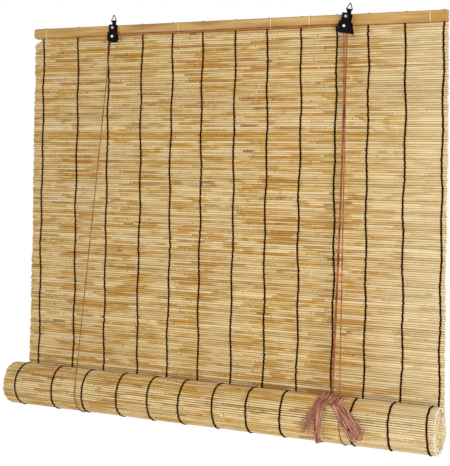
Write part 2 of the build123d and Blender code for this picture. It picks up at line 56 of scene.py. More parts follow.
# Hanging mat: thin round reeds laid side by side, each a natural hollow stalk with a thick and
# a thin end, node rings and brown leaf-sheath stains. They are cut to one length by hand, so the
# ends are a little ragged, and black threads bind them.
reed_count, reed_sides = 180, 8
reed_thickness_shares, reed_fullness = (0.78, 1.22), 1.08
reed_sway, reed_taper = 0.0004, 0.2
bow_height, bow_wave, bow_phase = 0.00035, 7.0, 3.0
ripple_height, ripple_wave, ripple_phase = 0.0002, 23.0, 9.0
push_depth, push_wave = 0.0003, 6.0
reed_nodes, node_stray, node_bulge = 6, 0.3, 0.07
node_offsets = np.array([-0.0050, -0.0012, 0.0012, 0.0050])
node_swell = np.array([0.0, 1.0, 1.0, 0.0])
reed_hollow_share, reed_hollow_depth, reed_rim = 0.36, 0.0012, 0.0003
end_rings = 3
left_trim, right_trim = 0.0025, 0.0005
left_ragged, right_ragged = 0.0022, 0.0015
slow_edge_wave, quick_edge_wave, edge_phase = 11, 29, 6
edge_wave_share, edge_scatter = 0.3, 0.8
top_wedge = (0.015, 0.016, 0.009, 0.004)
straw = (0.64, 0.435, 0.16, 1.0)
cream = (0.83, 0.655, 0.36, 1.0)
honey = (0.54, 0.295, 0.056, 1.0)
sheath_brown = (0.43, 0.175, 0.010, 1.0)
sheath_ochre = (0.56, 0.305, 0.028, 1.0)
sheath_dark = (0.19, 0.065, 0.012, 1.0)
# Painted shade for the grooves where the reeds touch.
contact_shade_brown = (0.17, 0.08, 0.018, 1.0)
node_and_glare_pale = (0.80, 0.68, 0.42, 1.0)
cut_cream = (0.93, 0.88, 0.69, 1.0)
tone_stops, tone_power = (0.0, 0.55, 1.0), 1.3
sheath_odds, sheath_shortest, sheath_spread = (0.56, 0.66), 0.14, 0.5
sheath_fade, sheath_strength, sheath_redness = (-0.16, 0.02), 0.9, (0.3, 0.9)
stain_odds, stain_strength, stain_wear = (0.52, 0.67), 0.8, (0.2, 0.5, 0.65, 1.0)
pale_odds, pale_strength = (0.5, 0.32), 0.45
rot_odds, rot_share, rot_fade, rot_strength = (0.02, 0.03), 0.4, (-0.04, 0.02), 0.8
ring_width, ring_odds, ring_strength, ring_extra = (0.004, 0.010), (0.35, 0.25), 0.25, 0.5
collar_place, collar_width, collar_odds, collar_strength = 0.022, (0.008, 0.016), (0.75, 0.8), 0.6
spot_odds, spotted_odds, spot_strength = (0.72, 0.78), (0.5, 0.7), 0.55
# Painted light: the reeds turn paler towards the right and most at their right ends.
right_glare_x, right_glare_strength = (0.28, 0.50), 0.5
right_end_glare_x, right_end_glare_strength = (0.488, 0.505), 0.9
contact_shade_power, shade_patch_range = 4, (0.3, 0.7, 0.25, 1.0)
cloud_rate, fleck_rate, shade_patch_rate, reach_shift = 2.2, 11.0, 0.9, 0.37
grain_scale, grain_bump, grain_depth = (60.0, 900.0, 900.0), 0.25, 0.0002
reed_roughness, grain_roughness, brown_roughness = 0.48, 0.2, -0.12
draw = np.random.default_rng(7)


class Wire:
    """A shader value: sums and products of wires write Math nodes, node() writes any other."""

    def __init__(self, tree, socket=None):
        self.tree = tree
        self.socket = socket

    def node(self, kind, sockets=None, output=0, stops=None, **settings):
        """Add a node: its settings and ramp stops first, then values or links of its sockets."""
        made = self.tree.nodes.new(f"ShaderNode{kind}")
        for setting, value in settings.items():
            setattr(made, setting, value)
        if stops:
            ramp = made.color_ramp.elements
            ramp[0].position, ramp[0].color = stops[0]
            ramp[1].position, ramp[1].color = stops[-1]
            for place, colour in stops[1:-1]:
                ramp.new(place).color = colour
        for key, value in (sockets or {}).items():
            if isinstance(value, Wire):
                self.tree.links.new(value.socket, made.inputs[key])
            else:
                made.inputs[key].default_value = value
        return Wire(self.tree, made.outputs[output])

    def out(self, output):
        """Another output of the node that this wire comes from."""
        return Wire(self.tree, self.socket.node.outputs[output])

    def into(self, shader, socket):
        """Link this wire to a socket of the surface shader."""
        self.tree.links.new(self.socket, shader.inputs[socket])

    def maths(self, operation, *values):
        """A Math node on this wire and other values."""
        return self.node("Math", dict(enumerate((self, *values))), operation=operation)

    def ease(self, low, high, start=0.0, end=1.0):
        """Smooth step from start at low to end at high."""
        steps = {0: self, 1: low, 2: high, 3: start, 4: end}
        return self.node("MapRange", steps, interpolation_type="SMOOTHSTEP")

    def mix(self, first, second):
        """The first colour where this wire is 0 and the second where it is 1."""
        return self.node("Mix", {0: self, 6: first, 7: second}, output=2, data_type="RGBA")

    def __add__(self, other):
        return self.maths("ADD", other)

    __radd__ = __add__

    def __mul__(self, other):
        return self.maths("MULTIPLY", other)

    __rmul__ = __mul__

    def __sub__(self, other):
        return self.maths("SUBTRACT", other)

    def __rsub__(self, other):
        return self.maths("MULTIPLY", -1.0).maths("ADD", other)


def new_finish(name, roughness=0.6, metallic=0.0, specular=0.5):
    """A material with constant gloss, its surface shader, and a wire to start node maths from."""
    material = bpy.data.materials.new(name)
    material.use_nodes = True
    shader = material.node_tree.nodes["Principled BSDF"]
    shader.inputs["Roughness"].default_value = roughness
    shader.inputs["Metallic"].default_value = metallic
    shader.inputs["Specular IOR Level"].default_value = specular
    return material, shader, Wire(material.node_tree)


def reed_finish(name):
    """Straw with a tone for each reed, brown sheaths that start at a node and fade, dark node rings,
    and painted shade in patches along the grooves where the reeds touch."""
    material, shader, wire = new_finish(name, specular=0.35)
    cell = wire.node("SeparateXYZ", {0: wire.node("Attribute", output="Vector", attribute_name="reed")})
    seed, tone = cell.out(1), cell.out(2)
    cut = wire.node("Attribute", output="Fac", attribute_name="cut")
    groove = wire.node("Attribute", output="Fac", attribute_name="groove")
    place = wire.node("TexCoord", output="Object")
    x = wire.node("SeparateXYZ", {0: place})
    index = cell.maths("FLOOR")
    along = cell - index

    def noise(kind, at, row, **sockets):
        """Noise at places along the reeds, with a row of its own for each reed."""
        spot = wire.node("CombineXYZ", {0: at, 1: seed * row})
        return wire.node(kind, {0: spot, **sockets}, noise_dimensions="2D")

    chance = noise("TexWhiteNoise", index, row=731.0)
    reach = noise("TexWhiteNoise", index + reach_shift, row=517.0)
    cloud = noise("TexNoise", cell * cloud_rate, row=391.0, Scale=1.0, Detail=3.0)
    fleck = noise("TexNoise", cell * fleck_rate, row=233.0, Scale=1.0, Detail=2.0)
    shade_patch = noise("TexNoise", cell * shade_patch_rate, row=577.0, Scale=1.0, Detail=1.0)
    length = reach * sheath_spread + sheath_shortest
    sheath = chance.ease(*sheath_odds) * (1.0 - (along - length).ease(*sheath_fade))
    stain = cloud.ease(*stain_odds) * stain_strength
    brown = (sheath * sheath_strength).maths("MAXIMUM", stain) * fleck.ease(*stain_wear)
    rot = (1.0 - chance.ease(*rot_odds)) * (1.0 - (along - length * rot_share).ease(*rot_fade))
    ring = 1.0 - along.maths("MINIMUM", 1.0 - along).ease(*ring_width)
    ring = ring * (chance.ease(*ring_odds) * ring_extra + ring_strength)
    collar = 1.0 - (along - collar_place).maths("ABSOLUTE").ease(*collar_width)
    collar = collar * reach.ease(*collar_odds)
    spot = fleck.ease(*spot_odds) * chance.ease(*spotted_odds)
    dark = ring.maths("MAXIMUM", spot * spot_strength).maths("MAXIMUM", rot * rot_strength)
    # Painted light: paler towards the right of the mat and at the reeds' right ends, as if lit more strongly
    # there.
    painted_glare = x.ease(*right_glare_x) * right_glare_strength
    painted_glare = painted_glare.maths("MAXIMUM", x.ease(*right_end_glare_x) * right_end_glare_strength)
    colour = wire.node("ValToRGB", {0: tone}, stops=list(zip(tone_stops, (straw, cream, honey))))
    colour = (cloud.ease(*pale_odds) * pale_strength).mix(colour, cream)
    colour = brown.mix(colour, reach.ease(*sheath_redness).mix(sheath_ochre, sheath_brown))
    colour = (collar * collar_strength).mix(colour, node_and_glare_pale)
    colour = dark.mix(colour, sheath_dark)
    colour = painted_glare.mix(colour, node_and_glare_pale)
    # Painted shade: the colour darkens in patches at each reed's sides, where its neighbours touch it.
    colour = (groove * shade_patch.ease(*shade_patch_range)).mix(colour, contact_shade_brown)
    cut.mix(colour, cut_cream).into(shader, "Base Color")
    fine_place = wire.node("Mapping", {0: place, 3: grain_scale})
    grain = wire.node("TexNoise", {0: fine_place, "Scale": 1.0, "Detail": 2.0})
    (brown * brown_roughness + grain * grain_roughness + reed_roughness).into(shader, "Roughness")
    bump = wire.node("Bump", {"Strength": grain_bump, "Distance": grain_depth, "Height": grain})
    bump.into(shader, "Normal")
    return material


def ring_faces(tubes, rings, sides):
    """Four-cornered faces between the rings of tubes, and the two end faces of each tube."""
    start = (np.arange(tubes) * rings * sides)[:, None, None]
    ring = (np.arange(rings - 1) * sides)[None, :, None]
    here = np.arange(sides)[None, None, :]
    after = (here + 1) % sides
    base = start + ring
    corners = [base + here, base + after, base + sides + after, base + sides + here]
    walls = np.stack(np.broadcast_arrays(*corners), axis=-1).reshape(-1, 4)
    first = (start[:, 0] + np.arange(sides)[::-1]).reshape(-1, sides)
    last = (start[:, 0] + (rings - 1) * sides + np.arange(sides)).reshape(-1, sides)
    return [walls, first, last]


def mesh_piece(name, points, faces, material, sharp=50.0):
    """An object from points and arrays of faces, turned so that its enclosed volume is positive."""
    flat = points.reshape(-1, 3)
    walls = faces[0]
    a, b, c, d = (flat[walls[:, k]] for k in range(4))
    volume = (a * np.cross(b, c)).sum() + (a * np.cross(c, d)).sum()
    if volume < 0:
        faces = [group[:, ::-1] for group in faces]
    mesh = bpy.data.meshes.new(name)
    mesh.vertices.add(len(flat))
    mesh.vertices.foreach_set("co", flat.astype(np.float32).ravel())
    sizes = np.concatenate([np.full(len(group), group.shape[1]) for group in faces])
    starts = np.concatenate([[0], np.cumsum(sizes)[:-1]])
    corners = np.concatenate([group.ravel() for group in faces])
    mesh.loops.add(len(corners))
    mesh.loops.foreach_set("vertex_index", corners.astype(np.int32))
    mesh.polygons.add(len(sizes))
    mesh.polygons.foreach_set("loop_start", starts.astype(np.int32))
    mesh.update(calc_edges=True)
    mesh.shade_smooth()
    mesh.set_sharp_from_angle(angle=math.radians(sharp))
    mesh.materials.append(material)
    piece = bpy.data.objects.new(name, mesh)
    bpy.context.scene.collection.objects.link(piece)
    return piece


def set_attribute(piece, name, kind, values):
    """A value or vector for each point of a piece, for its material to read."""
    field = "vector" if kind == "FLOAT_VECTOR" else "value"
    attribute = piece.data.attributes.new(name, kind, "POINT")
    attribute.data.foreach_set(field, values.astype(np.float32).ravel())


class ReedBed:
    """Reeds side by side along X: places, radii, way out, taper, bow and nodes of each, as arrays."""

    def __init__(self, y, z, radius, out_angle, left, right):
        count = len(y)
        self.y, self.z, self.radius = y, z, radius
        self.out_angle, self.left, self.right = out_angle, left, right
        self.taper = draw.uniform(-reed_taper, reed_taper, count)
        self.bow = draw.uniform(-1, 1, (4, count))
        self.seed = draw.random(count)
        self.tone = draw.random(count) ** tone_power
        self.spacing = (right - left) / reed_nodes
        stray = draw.uniform(-node_stray, node_stray, (count, reed_nodes))
        self.node_x = left[:, None] + self.spacing[:, None] * (np.arange(reed_nodes) + 0.5 + stray)

    def middle(self, x, pick=slice(None)):
        """Reed middles at x: slow sine waves lift and push each reed by under a millimetre."""
        bow = self.bow[:, pick, None]
        lift = bow_height * np.sin(bow_wave * x + bow_phase * bow[0]) * bow[1]
        ripple = ripple_height * np.sin(ripple_wave * x + ripple_phase * bow[1]) * bow[0]
        push = push_depth * np.sin(push_wave * x + bow_phase * bow[2]) * bow[3]
        return self.y[pick, None] + push, self.z[pick, None] + lift + ripple

    def girth(self, x, pick=slice(None)):
        """Reed radius at x, from the thick end to the thin one."""
        return self.radius[pick, None] * (1 + self.taper[pick, None] * x)

    def piece(self, name, material, pick):
        """One mesh of the picked reeds: hollow end, rim, skin with node rings, rim, hollow end."""
        left, right = self.left[pick, None], self.right[pick, None]
        count = len(left)
        nodes = (self.node_x[pick][:, :, None] + node_offsets).reshape(count, -1)
        skin_x = np.concatenate([left + reed_rim, nodes, right - reed_rim], axis=1)
        swell = np.concatenate([[0.0], np.tile(node_swell, reed_nodes), [0.0]])
        skin_r = self.girth(skin_x, pick) * (1 + node_bulge * swell)
        left_r, right_r = self.girth(left, pick), self.girth(right, pick)
        left_hole, right_hole = reed_hollow_share * left_r, reed_hollow_share * right_r
        x = np.concatenate([left + reed_hollow_depth, left, left, skin_x,
                            right, right, right - reed_hollow_depth], axis=1)
        r = np.concatenate([left_hole, left_hole, left_r, skin_r, right_r, right_hole, right_hole], axis=1)
        y, z = self.middle(x, pick)
        rings = x.shape[1]
        corner = 2 * np.pi * np.arange(reed_sides) / reed_sides
        turn = self.out_angle[pick, None, None] + corner
        points = np.stack(np.broadcast_arrays(x[..., None], y[..., None] + r[..., None] * np.cos(turn),
                                              z[..., None] + r[..., None] * np.sin(turn)), axis=-1)
        made = mesh_piece(name, points, ring_faces(count, rings, reed_sides), material)
        cell = (x - self.node_x[pick, 0:1]) / self.spacing[pick, None]
        step = np.arange(reed_nodes)[None, :, None] + node_offsets / self.spacing[pick, None, None]
        cell[:, end_rings + 1 : -end_rings - 1] = step.reshape(count, -1)
        cut = np.zeros(rings)
        cut[:end_rings] = cut[-end_rings:] = 1.0
        shape = (count, rings, reed_sides)
        marks = (cell, self.seed[pick, None] + 0 * cell, self.tone[pick, None] + 0 * cell)
        reed = np.stack([np.broadcast_to(values[..., None], shape) for values in marks], axis=-1)
        set_attribute(made, "reed", "FLOAT_VECTOR", reed)
        set_attribute(made, "cut", "FLOAT", np.broadcast_to(cut[None, :, None], shape))
        # Mask of the painted shade: strongest at the reed's sides that touch its neighbours.
        set_attribute(made, "groove", "FLOAT", np.broadcast_to(np.sin(corner) ** contact_shade_power, shape))
        return made


def ragged(count, amount):
    """How far cut ends stray: two sine waves down the edge and a small scatter."""
    slow = np.sin(np.linspace(0, slow_edge_wave, count) + draw.uniform(0, edge_phase))
    quick = np.sin(np.linspace(0, quick_edge_wave, count) + draw.uniform(0, edge_phase))
    return amount * (edge_wave_share * (slow + quick) + draw.uniform(-edge_scatter, edge_scatter, count))


sheet_low, sheet_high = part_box("reed_sheet")
mat_y = (sheet_low.y + sheet_high.y) / 2
thickness = draw.uniform(*reed_thickness_shares, reed_count)
thickness *= (sheet_high.z - sheet_low.z) / thickness.sum()
mat_z = sheet_high.z - np.cumsum(thickness) + thickness / 2
rail_low, rail_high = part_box("front_rail")
first_below = np.flatnonzero(mat_z < rail_low.z)[0]
wedge = np.zeros(reed_count)
wedge[first_below - 1 : first_below - 1 + len(top_wedge)] = top_wedge
mat = ReedBed(
    y=mat_y + draw.uniform(-reed_sway, reed_sway, reed_count),
    z=mat_z,
    radius=thickness / 2 * reed_fullness,
    out_angle=np.full(reed_count, np.pi),
    left=sheet_low.x + left_trim + ragged(reed_count, left_ragged) + wedge,
    right=sheet_high.x - right_trim + ragged(reed_count, right_ragged),
)
lift_travel = joints["blind_lift"]["range_m"][1]
gather_z = sheet_low.z + lift_travel
reed_skin = reed_finish("natural_reed")
upper_reeds = np.flatnonzero(mat_z > gather_z)
lower_reeds = np.flatnonzero(mat_z <= gather_z)
for name, reeds in (("hanging_reeds_upper", upper_reeds), ("hanging_reeds_lower", lower_reeds)):
    piece = mat.piece(name, reed_skin, reeds)
    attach(piece, "root")
    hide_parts("reed_sheet")
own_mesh(piece)

# Binding threads: two black cotton yarns twined round every reed, one in front while the other
# is behind, from knots over the head rail's top edge down to the roll.
yarn_radius, yarn_flat_share = 0.0019, 0.6
yarn_sides, yarn_steps = 6, 5
yarn_bed_share, yarn_square, yarn_lean = 0.75, 0.6, 0.4
yarn_fibre_scale, yarn_wear = (2400.0, 2400.0, 1440.0), (0.3, 0.72)
slow_drift, slow_drift_wave = 0.0019, 0.07
quick_drift, quick_drift_wave = 0.0012, 0.23
drift_phase, thread_jog = 3, 0.0006
yarn_black = (0.014, 0.0025, 0.0003, 1.0)
yarn_worn = (0.045, 0.009, 0.001, 1.0)
thread_count = 13
thread_nodes = [f"binding_thread_{number:02d}" for number in range(1, thread_count + 1)]
thread_x = [(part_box(node)[0].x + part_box(node)[1].x) / 2 for node in thread_nodes]


def yarn_finish(name, dark, paler):
    """Twisted yarn: two tones in a fine noise, a little long down the thread, with a fibre bump and
    no gloss."""
    material, shader, wire = new_finish(name, roughness=0.95, specular=0.0)
    place = wire.node("Mapping", {0: wire.node("TexCoord", output="Object"), 3: yarn_fibre_scale})
    fibre = wire.node("TexNoise", {0: place, "Scale": 1.0, "Detail": 3.0, "Roughness": 0.7})
    fibre.ease(*yarn_wear).mix(dark, paler).into(shader, "Base Color")
    wire.node("Bump", {"Strength": 0.6, "Distance": 0.0004, "Height": fibre}).into(shader, "Normal")
    return material


def tubes_along(paths, side_a, side_b, radius, sides):
    """Points of tubes: each ring is its path point plus a circle in the two side directions."""
    turn = 2 * np.pi * np.arange(sides) / sides
    circle_a = side_a[..., None, :] * np.cos(turn)[:, None]
    circle_b = side_b[..., None, :] * np.sin(turn)[:, None]
    return paths[..., None, :] + np.asarray(radius)[..., None, None] * (circle_a + circle_b)


def unit(vectors):
    """The vectors at length one."""
    return vectors / np.linalg.norm(vectors, axis=-1, keepdims=True)


def twined_pair(name, x, middle, outward, girth, material, phase):
    """Two yarns that swap faces at every reed: the way out from the reeds' middles is a flattened
    cosine of the reed's number, and the yarns lean sideways a little as they cross."""
    count = len(middle)
    at = np.linspace(0, count - 1, (count - 1) * yarn_steps + 1)
    reed = np.arange(count)
    line = np.stack([np.interp(at, reed, middle[:, k]) for k in range(2)], axis=-1)
    out = unit(np.stack([np.interp(at, reed, outward[:, k]) for k in range(2)], axis=-1))
    reach = np.interp(at, reed, girth) + yarn_bed_share * yarn_flat_share * yarn_radius
    paths = []
    for swap in (1.0, -1.0):
        wave = np.cos(np.pi * (at + phase))
        away = swap * reach * np.sign(wave) * np.abs(wave) ** yarn_square
        aside = swap * yarn_lean * yarn_radius * np.sin(np.pi * (at + phase))
        paths.append(np.column_stack([x(at) + aside, line + away[:, None] * out]))
    paths = np.array(paths)
    ahead = unit(np.gradient(paths, axis=1))
    across = np.broadcast_to(np.array([1.0, 0.0, 0.0]), ahead.shape)
    side = unit(across - (across * ahead).sum(-1, keepdims=True) * ahead)
    flat = yarn_flat_share * np.cross(ahead, side)
    points = tubes_along(paths, side, flat, np.full(paths.shape[:2], yarn_radius), yarn_sides)
    return mesh_piece(name, points, ring_faces(2, len(at), yarn_sides), material)


def thread_line(x, count):
    """A thread's wander across the reeds: two sines of the reed's number and a jog at each reed."""
    drift = draw.uniform(-1, 1, 4)
    jog = draw.uniform(-thread_jog, thread_jog, count)
    reed = np.arange(count)
    slow = slow_drift * np.sin(reed * slow_drift_wave + drift_phase * drift[0]) * drift[1]
    quick = quick_drift * np.sin(reed * quick_drift_wave + drift_phase * drift[2])
    place = x + slow + quick + jog
    return lambda at: np.interp(at, reed, place)


thread_yarn = yarn_finish("black_yarn", yarn_black, yarn_worn)
split = int(upper_reeds[-1])
for node, x in zip(thread_nodes, thread_x):
    line = thread_line(x, reed_count)
    middle_y, middle_z = mat.middle(np.full((1, 1), x))
    middle = np.column_stack([middle_y[:, 0], middle_z[:, 0]])
    girth = mat.girth(np.full((1, 1), x))[:, 0]
    outward = np.tile([-1.0, 0.0], (reed_count, 1))
    for part, reeds in (("upper", slice(0, split + 1)), ("lower", slice(split, reed_count))):
        start = reeds.start
        piece = twined_pair(f"{node}_{part}", lambda at: line(at + start), middle[reeds], outward[reeds],
                            girth[reeds], thread_yarn, start)
        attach(piece, "root")
        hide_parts(node)
    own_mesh(piece)
knot_radius, knot_rings = 0.0016, 7
knot_half, knot_front, knot_rise, knot_blunt = 0.0026, 0.0012, 0.0008, 0.15
knot_bulge = np.sin(np.linspace(knot_blunt, np.pi - knot_blunt, knot_rings))
knots = np.empty((thread_count, knot_rings, 3))
knots[..., 0] = np.array(thread_x)[:, None] + np.linspace(-knot_half, knot_half, knot_rings)
knots[..., 1] = mat_y - knot_front
knots[..., 2] = sheet_high.z + knot_rise
knot_sides = np.broadcast_to([0.0, 1.0, 0.0], knots.shape), np.broadcast_to([0.0, 0.0, 1.0], knots.shape)
knot_radii = knot_radius * knot_bulge * np.ones((thread_count, 1))
points = tubes_along(knots, *knot_sides, knot_radii, yarn_sides)
piece = mesh_piece("thread_knots", points, ring_faces(thread_count, knot_rings, yarn_sides), thread_yarn)
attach(piece, "root")

# Roll: the lower end of the mat wound round a wooden pole. Lower half turns are centred on the
# roll's axis and upper half turns half a pitch in front of it. The outer turn is whole reeds;
# of the turns inside only the ends can be seen.
_, roll_y, roll_z = joints["roll_turn"]["pos_m"]
roll_mid_radius = mat_y - roll_y
half_pitch = 0.00315
half_turns, outer_half_turns = 11, 2
stub_length = 0.045
roll_left_over, roll_right_over = 0.0075, 0.0045
roll_left_x, roll_right_x = sheet_low.x - roll_left_over, sheet_high.x + roll_right_over
outer_trim, inner_trim, roll_ragged = 0.0015, 0.001, 0.0016
outer_sink, outer_rise = 0.0005, 0.0004
outer_thickness_shares, inner_thickness_shares = (0.93, 1.12), (0.9, 1.1)
reed_pitch = (sheet_high.z - sheet_low.z) / reed_count
node_shares = (np.arange(reed_nodes) + 0.5) / reed_nodes


def roll_half_turn(half):
    """Middles and ways out of the reeds in a half turn, going down the back first."""
    radius = roll_mid_radius - half * half_pitch
    count = round(math.pi * radius / reed_pitch)
    angle = -np.pi * (half + (np.arange(count) + 0.5) / count)
    out = np.column_stack([np.cos(angle), np.sin(angle)])
    centre = np.array([roll_y - half_pitch * (half % 2), roll_z])
    return centre + radius * out, out


def roll_reeds(first, end):
    """Middles and ways out of the reeds from the first half turn up to, but not in, the end one."""
    middles, outs = zip(*map(roll_half_turn, range(first, end)))
    return np.concatenate(middles), np.concatenate(outs)


outer_middle, outer_out = roll_reeds(0, outer_half_turns)
inner_middle, inner_out = roll_reeds(outer_half_turns, half_turns)
outer_count, inner_count = len(outer_middle), len(inner_middle)
outer_middle += outer_out * draw.uniform(-outer_sink, outer_rise, (outer_count, 1))
outer_turn = ReedBed(
    y=outer_middle[:, 0],
    z=outer_middle[:, 1],
    radius=reed_pitch / 2 * draw.uniform(*outer_thickness_shares, outer_count),
    out_angle=np.arctan2(outer_out[:, 1], outer_out[:, 0]),
    left=roll_left_x + outer_trim + ragged(outer_count, roll_ragged),
    right=roll_right_x - outer_trim + ragged(outer_count, roll_ragged),
)
piece = outer_turn.piece("rolled_reeds_outer", reed_skin, np.arange(outer_count))
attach(piece, "roll")
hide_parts("reed_roll")
for side, near, far in (("left", roll_left_x + inner_trim, roll_left_x + stub_length),
                        ("right", roll_right_x - stub_length, roll_right_x - inner_trim)):
    stubs = ReedBed(
        y=inner_middle[:, 0],
        z=inner_middle[:, 1],
        radius=reed_pitch / 2 * draw.uniform(*inner_thickness_shares, inner_count),
        out_angle=np.arctan2(inner_out[:, 1], inner_out[:, 0]),
        left=near + ragged(inner_count, roll_ragged if side == "left" else 0.0),
        right=far + ragged(inner_count, roll_ragged if side == "right" else 0.0),
    )
    stubs.node_x = np.tile(near + (far - near) * node_shares, (inner_count, 1))
    piece = stubs.piece(f"rolled_reed_ends_{side}", reed_skin, np.arange(inner_count))
    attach(piece, "roll")
for number, x in enumerate(thread_x, start=1):
    middle_y, middle_z = outer_turn.middle(np.full((1, 1), x))
    piece = twined_pair(f"roll_thread_{number:02d}", thread_line(x, outer_count),
                        np.column_stack([middle_y[:, 0], middle_z[:, 0]]), outer_out,
                        outer_turn.girth(np.full((1, 1), x))[:, 0], thread_yarn, 0)
    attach(piece, "roll")
    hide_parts("roll_threads")

# Head rail and pole: two slats of split bamboo nailed together with the mat between them, honey
# brown with a long grain and pale rings at the nodes, and a plain pole inside the roll.
bamboo_node_shares = (0.037, 0.391, 0.616, 0.705, 0.966)
bamboo_light = (0.58, 0.37, 0.115, 1.0)
bamboo_mid = (0.46, 0.245, 0.05, 1.0)
bamboo_dark = (0.31, 0.135, 0.026, 1.0)
bamboo_ring = (0.86, 0.72, 0.46, 1.0)
bamboo_stops = (0.34, 0.52, 0.72)
fine_grain_scale, broad_grain_scale = (9.0, 260.0, 260.0), (7.0, 40.0, 40.0)
fine_grain_share, broad_grain_share, grain_drop = 0.5, 0.75, 0.07
pale_ring_width, pale_ring_strength = (0.0005, 0.0013), 0.8
dark_line_aside, dark_line_width, dark_line_strength = 0.0024, (0.0003, 0.0008), 0.6
bamboo_roughness, bamboo_gloss = 0.55, 0.25


def bamboo_finish(name, tones, node_places):
    """Long grain along X in three tones, with a pale ring and a dark line at each node."""
    material, shader, wire = new_finish(name, specular=0.45)
    place = wire.node("TexCoord", output="Object")
    fine_place = wire.node("Mapping", {0: place, 3: fine_grain_scale})
    broad_place = wire.node("Mapping", {0: place, 3: broad_grain_scale})
    grain = wire.node("TexNoise", {0: fine_place, "Scale": 1.0, "Detail": 4.0})
    broad = wire.node("TexNoise", {0: broad_place, "Scale": 1.0, "Detail": 2.0})
    tone = grain * fine_grain_share + broad * broad_grain_share - grain_drop
    colour = wire.node("ValToRGB", {0: tone}, stops=list(zip(bamboo_stops, tones)))
    x = wire.node("SeparateXYZ", {0: place})
    for node_x in node_places:
        away = x - node_x
        ring = 1.0 - away.maths("ABSOLUTE").ease(*pale_ring_width)
        line = 1.0 - (away - dark_line_aside).maths("ABSOLUTE").ease(*dark_line_width)
        colour = (ring * pale_ring_strength).mix(colour, bamboo_ring)
        colour = (line * dark_line_strength).mix(colour, bamboo_dark)
    colour.into(shader, "Base Color")
    (bamboo_roughness - grain * bamboo_gloss).into(shader, "Roughness")
    wire.node("Bump", {"Strength": 0.3, "Distance": 0.0003, "Height": grain}).into(shader, "Normal")
    return material


def dress(finish, *nodes):
    """Give CAD nodes a finish."""
    for node in nodes:
        frame["nodes"][node].data.materials.clear()
        frame["nodes"][node].data.materials.append(finish)


bamboo_nodes = [rail_low.x + share * (rail_high.x - rail_low.x) for share in bamboo_node_shares]
rail_bamboo = bamboo_finish("honey_bamboo", (bamboo_dark, bamboo_mid, bamboo_light), bamboo_nodes)
dress(rail_bamboo, "front_rail", "back_rail")
dress(bamboo_finish("pole_wood", (bamboo_light, straw, cream), []), "bottom_pole")

# Pulley and cord lock: black enamelled steel plates and wire rings, zinc-bright rivets, screws,
# nails and sleeves, and black nylon wheels inside.
enamel_black = (0.004, 0.004, 0.004, 1.0)
enamel_worn = (0.008, 0.0075, 0.007, 1.0)
zinc_bright = (0.86, 0.85, 0.82, 1.0)
zinc_dull = (0.55, 0.54, 0.52, 1.0)
zinc_grey = (0.24, 0.23, 0.22, 1.0)
nylon_black = (0.006, 0.006, 0.007, 1.0)
wear_scale, wear_range, wear_roughness = 320.0, (0.35, 0.75), 0.3


def metal_finish(name, first, second, roughness, metallic, specular=0.5):
    """Two tones in soft clouds, with roughness that follows them."""
    material, shader, wire = new_finish(name, metallic=metallic, specular=specular)
    place = wire.node("TexCoord", output="Object")
    cloud = wire.node("TexNoise", {0: place, "Scale": wear_scale, "Detail": 4.0})
    cloud.ease(*wear_range).mix(first, second).into(shader, "Base Color")
    (cloud * wear_roughness + roughness).into(shader, "Roughness")
    wire.node("Bump", {"Strength": 0.15, "Distance": 0.0002, "Height": cloud}).into(shader, "Normal")
    return material


enamel = metal_finish("black_enamel", enamel_black, enamel_worn, roughness=0.3, metallic=0.0, specular=0.03)
zinc = metal_finish("bright_zinc", zinc_bright, zinc_dull, roughness=0.18, metallic=1.0)
dull_zinc = metal_finish("dull_zinc", zinc_dull, zinc_grey, roughness=0.4, metallic=1.0)
nylon = metal_finish("black_nylon", nylon_black, enamel_worn, roughness=0.4, metallic=0.0, specular=0.1)
for bracket in ("pulley", "lock"):
    dress(enamel, f"{bracket}_back_plate", f"{bracket}_front_plate", f"{bracket}_hanging_ring")
    dress(zinc, f"{bracket}_axle_rivet")
    dress(dull_zinc, f"{bracket}_screw", f"{bracket}_spacer_sleeve")
dress(dull_zinc, "rail_nails")
dress(nylon, "pulley_wheel", "lock_rear_wheel", "lock_front_wheel", "lock_roller")

# Lift cords: two loops of soft terracotta cord, three strands twisted. Each runs from its wheel
# down in front of the mat, round under the roll and up behind the mat to the back slat.
cord_diameter = 0.0025
cord_strands, cord_lay, cord_steps = 3, 0.0095, 8
strand_sides, strand_fullness = 6, 1.12
cord_fibre_scale, cord_fibre_share = (1500.0, 1500.0, 900.0), 0.35
run_shade_share, run_shade_drop, cord_tone_range, shade_facing_range = 1.8, 0.55, (0.05, 0.85), (-0.2, 0.65)
room_side = np.array([0.4, -0.92, 0.0])
cord_terracotta = (0.46, 0.155, 0.080, 1.0)
cord_maroon = (0.21, 0.055, 0.025, 1.0)
cord_painted_shade = (0.10, 0.020, 0.010, 1.0)
wheel_cord_radius = 0.005
wrap_radius = 0.05087
wrap_left_x, wrap_right_x = -0.309, 0.313
tie_left_x, tie_right_x, tie_z = -0.279, 0.288, 0.0055


def cord_finish(name, light, dark):
    """Soft twisted cord: painted light and shade in stretches at random along its run, and painted shade
    where it turns away from the room.
    """
    material, shader, wire = new_finish(name, roughness=0.95, specular=0.1)
    place = wire.node("Mapping", {0: wire.node("TexCoord", output="Object"), 3: cord_fibre_scale})
    fibre = wire.node("TexNoise", {0: place, "Scale": 1.0, "Detail": 3.0, "Roughness": 0.7})
    run = wire.node("Attribute", output="Fac", attribute_name="run")
    facing = wire.node("Attribute", output="Fac", attribute_name="facing")
    # Painted light and shade: stretches of the run, picked at random, turn lighter and darker.
    paler = wire.node("TexNoise", {"W": run, "Scale": 30.0, "Detail": 1.0}, noise_dimensions="1D")
    tone = fibre * cord_fibre_share + paler * run_shade_share - run_shade_drop
    colour = tone.ease(*cord_tone_range).mix(dark, light)
    # Painted shade on the strands' sides that turn away from the room.
    facing.ease(*shade_facing_range).mix(cord_painted_shade, colour).into(shader, "Base Color")
    wire.node("Bump", {"Strength": 0.6, "Distance": 0.0004, "Height": fibre}).into(shader, "Normal")
    return material


